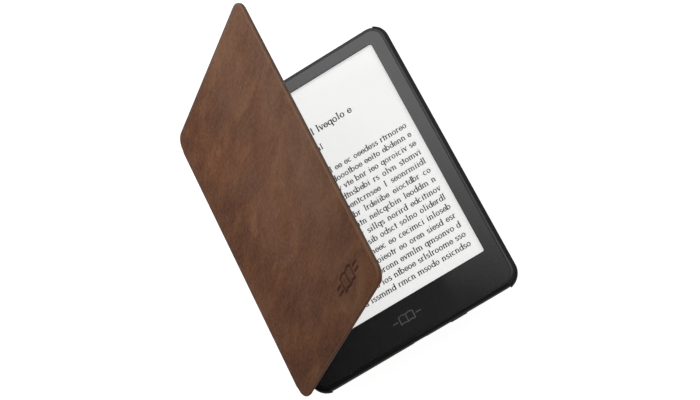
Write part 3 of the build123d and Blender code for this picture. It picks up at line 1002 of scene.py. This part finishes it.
def microfibre():
    """Grey brushed lining with short crossing fibres."""
    paint = Paint("grey_microfibre", roughness=0.95)
    along = paint.place((0.35, 2.6, 1.0))
    across = paint.place((2.4, 0.4, 1.0), turn=24)
    fibres = paint.mix(0.5, paint.noise(along, 3.0, 5.0, 0.7), paint.noise(across, 3.0, 5.0, 0.7))
    brushed = paint.noise(paint.place(), 0.09, 3.0, 0.5, 0.6)
    tone = paint.tones(fibres, (70, 70, 69), (122, 122, 120))
    tone = paint.mix(paint.range(brushed, 0.35, 0.65, 0.0, 0.35), tone, (126, 126, 124))
    normal = paint.bump(fibres, 0.12)
    return paint.finish(tone, normal, Sheen_Weight=0.25, Sheen_Roughness=0.5)


def board_card():
    """Grey pressed card with fibres."""
    paint = Paint("board_card", roughness=0.9)
    fibres = paint.noise(paint.place((0.5, 2.0, 2.0)), 2.2, 6.0, 0.7)
    flecks = paint.range(paint.cells(paint.place(), 1.1), 0.0, 0.12, 0.6, 0.0)
    tone = paint.tones(fibres, (120, 114, 104), (160, 153, 142))
    return paint.finish(paint.mix(flecks, tone, (88, 80, 70)), paint.bump(fibres, 0.06))


PLASTICS = {  # dark and light tone, roughness, grain size, grain height, reflection
    "tray_plastic": ((17, 17, 18), (27, 27, 28), 0.46, 5.0, 0.02, 0.25),
    "shell_plastic": ((24, 24, 25), (36, 36, 37), 0.36, 7.0, 0.010, 0.5),
    "key_plastic": ((18, 18, 19), (30, 30, 31), 0.38, 8.0, 0.008, 0.5),
    "connector": ((40, 38, 34), (64, 60, 54), 0.5, 3.0, 0.02, 0.5),
    "chip": ((30, 30, 31), (48, 48, 49), 0.6, 4.5, 0.02, 0.5),
}
METALS = {  # dark and light tone, roughness, stretch of its grain, grain size and height
    "frame_metal": ((120, 121, 122), (168, 169, 170), 0.5, (1, 1, 1), 1.2, 0.04),
    "shield_steel": ((150, 151, 152), (200, 200, 200), 0.32, (0.2, 3, 1), 2.2, 0.015),
    "screw_steel": ((110, 110, 112), (170, 170, 172), 0.3, (1, 1, 3), 3.0, 0.02),
    "magnet": ((150, 148, 142), (206, 203, 196), 0.25, (1, 1, 1), 1.6, 0.02),
}
MOTTLED = {  # dark and light tone, roughness, the noise's scale, detail and rough, height
    "page_ink": ((46, 46, 47), (78, 78, 79), 0.8, 12.0, 3.0, 0.7, 0.002),
    "bezel_ink": ((100, 100, 101), (122, 122, 122), 0.6, 14.0, 3.0, 0.7, 0.002),
    "black_film": ((26, 26, 26), (36, 36, 36), 0.6, 0.6, 4.0, 0.6, 0.004),
    "seal_rubber": ((28, 28, 29), (54, 53, 52), 0.75, 1.4, 5.0, 0.65, 0.03),
}
BANDED = {  # dark and light tone, roughness, the bands' scale, waviness and direction
    "tape": ((34, 34, 36), (58, 58, 60), 0.6, 2.0, 0.6, "X"),
    "wire": ((120, 22, 20), (160, 34, 30), 0.45, 1.5, 0.4, "Y"),
}


def plastic(name, dark, light, roughness, grain, height, reflect):
    """Moulded plastic with a spark-eroded grain and faint flow marks."""
    paint = Paint(name)
    spark = paint.noise(paint.place(), grain, 4.0, 0.65)
    flow = paint.noise(paint.place((0.3, 1.0, 1.0)), 0.05, 2.0, 0.5, 0.5)
    tone = paint.tones(spark, dark, light)
    tone = paint.mix(paint.range(flow, 0.3, 0.7, 0.0, 0.25), tone, light)
    normal = paint.bump(spark, height, paint.bump(flow, 0.02))
    rough = paint.range(flow, 0.3, 0.7, roughness - 0.05, roughness + 0.06)
    return paint.finish(tone, normal, rough, Specular_IOR_Level=reflect)


WINDOW_HALF_X, WINDOW_HALF_Y, WINDOW_Y = 53.6, 71.3, 7.15  # the border's opening


def window_share(paint):
    """1 inside the border's opening and 0 over the border."""
    place = paint.axes(paint.place())
    inside = []
    for axis, middle, half in (("X", 0.0, WINDOW_HALF_X), ("Y", WINDOW_Y, WINDOW_HALF_Y)):
        away = paint.math("ABSOLUTE", paint.math("SUBTRACT", place[axis], middle))
        inside.append(paint.math("LESS_THAN", away, half))
    return paint.times(*inside)


def smears(paint, low, high):
    """Roughness of a smooth face that hands have touched."""
    return paint.range(paint.noise(paint.place(), 0.035, 3.0, 0.5, 0.8), 0.3, 0.7, low, high)


def see_through(paint, reflect, low, high):
    """What lies below shows through, with a faint satin reflection on top."""
    through = paint.node("BsdfTransparent")
    shine = paint.node("BsdfGlossy")
    paint.link(smears(paint, low, high), shine.inputs["Roughness"])
    angle = paint.node("LayerWeight")
    angle.inputs["Blend"].default_value = 0.5
    steep = paint.math("POWER", angle.outputs["Facing"], 4.0)
    share = paint.math("ADD", reflect, paint.times(steep, 0.7))
    front = paint.math("SUBTRACT", 1.0, paint.node("NewGeometry").outputs["Backfacing"])
    return paint.blend(paint.times(share, front), through, shine)


def lens():
    """Clear over the window; elsewhere glossy black, like the print bonded to its back."""
    paint = Paint("lens")
    mottle = paint.noise(paint.place(), 0.6, 4.0, 0.6)
    tone = paint.tones(mottle, (46, 46, 46), (52, 52, 52))
    paint.finish(tone, roughness=smears(paint, 0.07, 0.11), Specular_IOR_Level=0.53)
    window = see_through(paint, 0.012, 0.06, 0.13)
    return paint.output(paint.blend(window_share(paint), paint.surface, window))


def clear_layer():
    """Clear sheet in the display's stack, with hardly any reflection of its own."""
    paint = Paint("clear_layer")
    return paint.output(see_through(paint, 0.002, 0.27, 0.35))


def eink():
    """Paper-white panel with a very fine mottle; its glow is partly the frontlight, lit evenly from its edge, and
    partly painted light that washes out the shade cast by the flap and the border.
    """
    paint = Paint("eink", roughness=0.8)
    capsules = paint.noise(paint.place(), 9.0, 3.0, 0.7)
    drift = paint.noise(paint.place(), 0.012, 2.0, 0.5)
    tone = paint.tones(capsules, (184, 184, 183), (194, 194, 193))
    tone = paint.mix(paint.range(drift, 0.35, 0.65, 0.0, 0.3), tone, (190, 190, 191))
    # The glow is partly frontlight and partly painted light over the shade on the page.
    return paint.finish(tone, paint.bump(capsules, 0.003), Emission_Color=(255, 255, 254),
                        Emission_Strength=0.62)


def mottled(name, dark, light, roughness, size, detail, rough, height):
    """Plain material whose tone and relief follow one noise: prints, film and rubber."""
    paint = Paint(name, roughness=roughness)
    mottle = paint.noise(paint.place(), size, detail, rough)
    return paint.finish(paint.tones(mottle, dark, light), paint.bump(mottle, height))


def banded(name, dark, light, roughness, scale, twist, direction):
    """Plain material whose tone and relief follow soft bands: woven tape and ribbed leads."""
    paint = Paint(name, roughness=roughness)
    bands = paint.waves(paint.place(), scale, twist, direction)
    return paint.finish(paint.tones(bands, dark, light, 0.0, 1.0), paint.bump(bands, 0.03))


def metal(name, dark, light, roughness, stretch, scale, height):
    """Metal with grain running along one axis and small pits."""
    paint = Paint(name, metallic=1.0)
    lay = paint.noise(paint.place(stretch), scale, 5.0, 0.65)
    pits = paint.range(paint.cells(paint.place(), 1.6), 0.0, 0.1, 0.5, 0.0)
    tone = paint.mix(pits, paint.tones(lay, dark, light), dark)
    rough = paint.range(lay, 0.3, 0.7, roughness - 0.08, roughness + 0.1)
    return paint.finish(tone, paint.bump(lay, height), rough)


def foil():
    """Crinkled laminate of the battery pouch."""
    paint = Paint("foil", roughness=0.42, metallic=0.85)
    crinkle = paint.cells(paint.place((0.5, 1.0, 1.0)), 0.28)
    fine = paint.noise(paint.place(), 1.8, 4.0, 0.6)
    tone = paint.tones(fine, (150, 152, 155), (188, 190, 193))
    return paint.finish(tone, paint.bump(fine, 0.02, paint.bump(crinkle, 0.2)))


def graphite():
    """Flaky heat-spreading sheet."""
    paint = Paint("graphite", roughness=0.45, metallic=0.3)
    flakes = paint.cells(paint.place(), 3.0, output="Color")
    sheen = paint.noise(paint.place(), 1.2, 5.0, 0.7)
    tone = paint.mix(0.15, paint.tones(sheen, (38, 38, 40), (72, 72, 75)), flakes)
    return paint.finish(tone, paint.bump(sheen, 0.02))


def flex():
    """Amber polyimide with copper tracks showing through."""
    paint = Paint("flex", roughness=0.35)
    tracks = paint.range(paint.waves(paint.place(), 0.55, 0.0), 0.45, 0.55)
    haze = paint.noise(paint.place(), 1.0, 4.0, 0.6)
    film = paint.tones(haze, (120, 66, 18), (152, 88, 28))
    return paint.finish(paint.mix(tracks, film, (196, 122, 58)), paint.bump(tracks, 0.02))


def circuit_board():
    """Solder mask over tracks, with scattered pads."""
    paint = Paint("circuit_board", roughness=0.4)
    tracks = paint.range(paint.cells(paint.place(), 0.35, "DISTANCE_TO_EDGE"), 0.03, 0.05)
    weave = paint.waves(paint.place(), 1.6, 0.3, "DIAGONAL")
    mask = paint.mix(tracks, (34, 92, 66), (18, 58, 44))
    pads = paint.range(paint.cells(paint.place(), 0.42), 0.10, 0.12, 1.0, 0.0)
    tone = paint.mix(pads, mask, (196, 176, 120))
    return paint.finish(tone, paint.bump(tracks, 0.03, paint.bump(weave, 0.008)))


SINGLE = {
    "brown_leather": leather, "grey_microfibre": microfibre, "board_card": board_card,
    "lens": lens, "clear_layer": clear_layer, "eink": eink, "foil": foil,
    "graphite": graphite, "flex": flex, "circuit_board": circuit_board,
}


def all_materials():
    """Every material by the name of its slot; the two inks have no slot."""
    made = {name: build() for name, build in SINGLE.items()}
    families = ((plastic, PLASTICS), (metal, METALS), (mottled, MOTTLED), (banded, BANDED))
    for build, kinds in families:
        for name, values in kinds.items():
            made[name] = build(name, *values)
    return made


def wear(piece, material):
    """Gives a piece one material."""
    piece.data.materials.clear()
    piece.data.materials.append(material)


# ---- putting it together

def paint_nodes(made):
    """Gives every CAD node the material of its slot."""
    for name, node in frame["nodes"].items():
        wear(node, made[SLOT_OF[name]])


def add_cover(made):
    """Soft leather and linings in place of the cover's stiff sheets."""
    hide, cloth = "brown_leather", "grey_microfibre"
    sheets = (
        (front_skin(), hide, "spine", "flap", SPINE, ["front_leather"]),
        (back_skin(), hide, "reader", "spine", 0.0, ["back_leather", "spine_leather"]),
        (front_lining(), cloth, "spine", "flap", SPINE, ["front_lining"]),
        (spine_lining(), cloth, "reader", "spine", 0.0, ["spine_lining"]),
    )
    for piece, slot, *bend in sheets:
        wear(piece, made[slot])
        bend_between(piece, *bend)


def add_prints(made):
    """The page and the mark below the screen."""
    for piece, name in ((page_text(), "page_ink"), (bezel_mark(), "bezel_ink")):
        wear(piece, made[name])
        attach(piece, "reader")


# ---- stage, light and camera

FLOOR_DROP = 0.02  # metres
FLOOR_GLOW, FLOOR_SEEN = 0.25, 0.95  # its own light, for other rays and the camera
BACKDROP_SEEN, ROOM_LIGHT = 1.0, 0.20
BOX_PEAK, BOX_DIM = 2.62, 0.05  # softbox in reflections: brightest, and beyond it
BOX_EDGE_X, BOX_EDGE_Y = -0.122, 0.339  # where its edge lies, as a direction's x and y
BOX_RISE_X, BOX_RISE_Y = 18.0, 21.0  # how fast it brightens past that edge


def add_floor():
    """Pale floor, below the lowest place of the cover when it is folded behind the reader."""
    bpy.ops.mesh.primitive_plane_add(size=12.0, location=(0, 0, -FLOOR_DROP))
    floor = bpy.context.object
    floor.name = "floor"
    paint = Paint("pale_floor", roughness=0.9)
    mottle = paint.noise(paint.place(), 0.004, 3.0, 0.5)
    tone = paint.tones(mottle, (150, 150, 150), (156, 156, 156))
    seen = paint.node("LightPath").outputs["Is Camera Ray"]
    glow = paint.range(seen, 0.0, 1.0, FLOOR_GLOW, FLOOR_SEEN)
    wear(floor, paint.finish(tone, Emission_Color=(255, 255, 255), Emission_Strength=glow))


def add_world():
    """White to the camera, soft and even for diffuse light, a gradient in reflections."""
    world = bpy.data.worlds.new("studio")
    bpy.context.scene.world = world
    world.use_nodes = True
    world.cycles.sampling_method = "NONE"  # so that every ray keeps its kind
    nodes = Nodes(world.node_tree)
    rays = nodes.node("LightPath")
    levels = {"Is Camera Ray": BACKDROP_SEEN, "Is Diffuse Ray": ROOM_LIGHT,
              "Is Glossy Ray": softbox(nodes)}
    total = 0.0
    for name, level in levels.items():
        total = nodes.math("ADD", total, nodes.times(rays.outputs[name], level))
    background = nodes.tree.nodes["Background"]
    background.inputs["Color"].default_value = (1, 1, 1, 1)
    nodes.link(total, background.inputs["Strength"])


def softbox(nodes):
    """Large soft light overhead, beyond a slanted edge, fading aside and near the horizon."""
    toward = nodes.axes(nodes.node("TexCoord").outputs["Generated"])
    up_page = nodes.times(nodes.math("SUBTRACT", toward["Y"], BOX_EDGE_Y), BOX_RISE_Y)
    across = nodes.times(nodes.math("SUBTRACT", toward["X"], BOX_EDGE_X), BOX_RISE_X)
    level = nodes.range(nodes.math("ADD", up_page, across), 0.0, BOX_PEAK, BOX_DIM, BOX_PEAK)
    aside = nodes.range(toward["X"], 0.25, 0.75, 1.0, 0.3)
    low = nodes.range(toward["Z"], 0.35, 0.8, 0.12, 1.0)
    return nodes.times(level, aside, low)


def add_lamp(name, place, aim, size, power):
    """Square area lamp, not seen by the camera or in reflections."""
    data = bpy.data.lights.new(name, "AREA")
    data.size = size
    data.energy = power
    lamp = bpy.data.objects.new(name, data)
    bpy.context.scene.collection.objects.link(lamp)
    lamp.location = place
    lamp.rotation_euler = (Vector(aim) - Vector(place)).to_track_quat("-Z", "Y").to_euler()
    lamp.visible_glossy = False
    lamp.visible_camera = False


CAMERA_PLACE = Vector((149.7, -417.5, 958.7))  # millimetres
CAMERA_LOOK = Vector((-0.1413, 0.4003, -0.9054))
CAMERA_UP = Vector((0.5117, 0.8125, 0.2793))
FOCAL_LENGTH, SENSOR_WIDTH = 97.2, 36.0


def add_camera():
    """Looks down on the page from the reader's lower right."""
    data = bpy.data.cameras.new("camera")
    data.lens = FOCAL_LENGTH
    data.sensor_width = SENSOR_WIDTH
    camera = bpy.data.objects.new("camera", data)
    bpy.context.scene.collection.objects.link(camera)
    look = CAMERA_LOOK.normalized()
    right = look.cross(CAMERA_UP).normalized()
    turn = Matrix((right, right.cross(look), -look)).transposed()
    camera.matrix_world = Matrix.Translation(CAMERA_PLACE * MM) @ turn.to_4x4()
    bpy.context.scene.camera = camera


made = all_materials()
paint_nodes(made)
add_cover(made)
add_prints(made)
add_floor()
add_world()
add_lamp("key", (-0.210, 0.106, 0.237), (-0.020, 0.106, 0.075), size=0.12, power=0.44)
add_lamp("fill", (0.7, 0.3, 1.3), (0, 0, 0.03), size=1.2, power=9.0)
add_camera()
bpy.context.scene.view_settings.view_transform = "Standard"
bpy.context.scene.cycles.transparent_max_bounces = 32
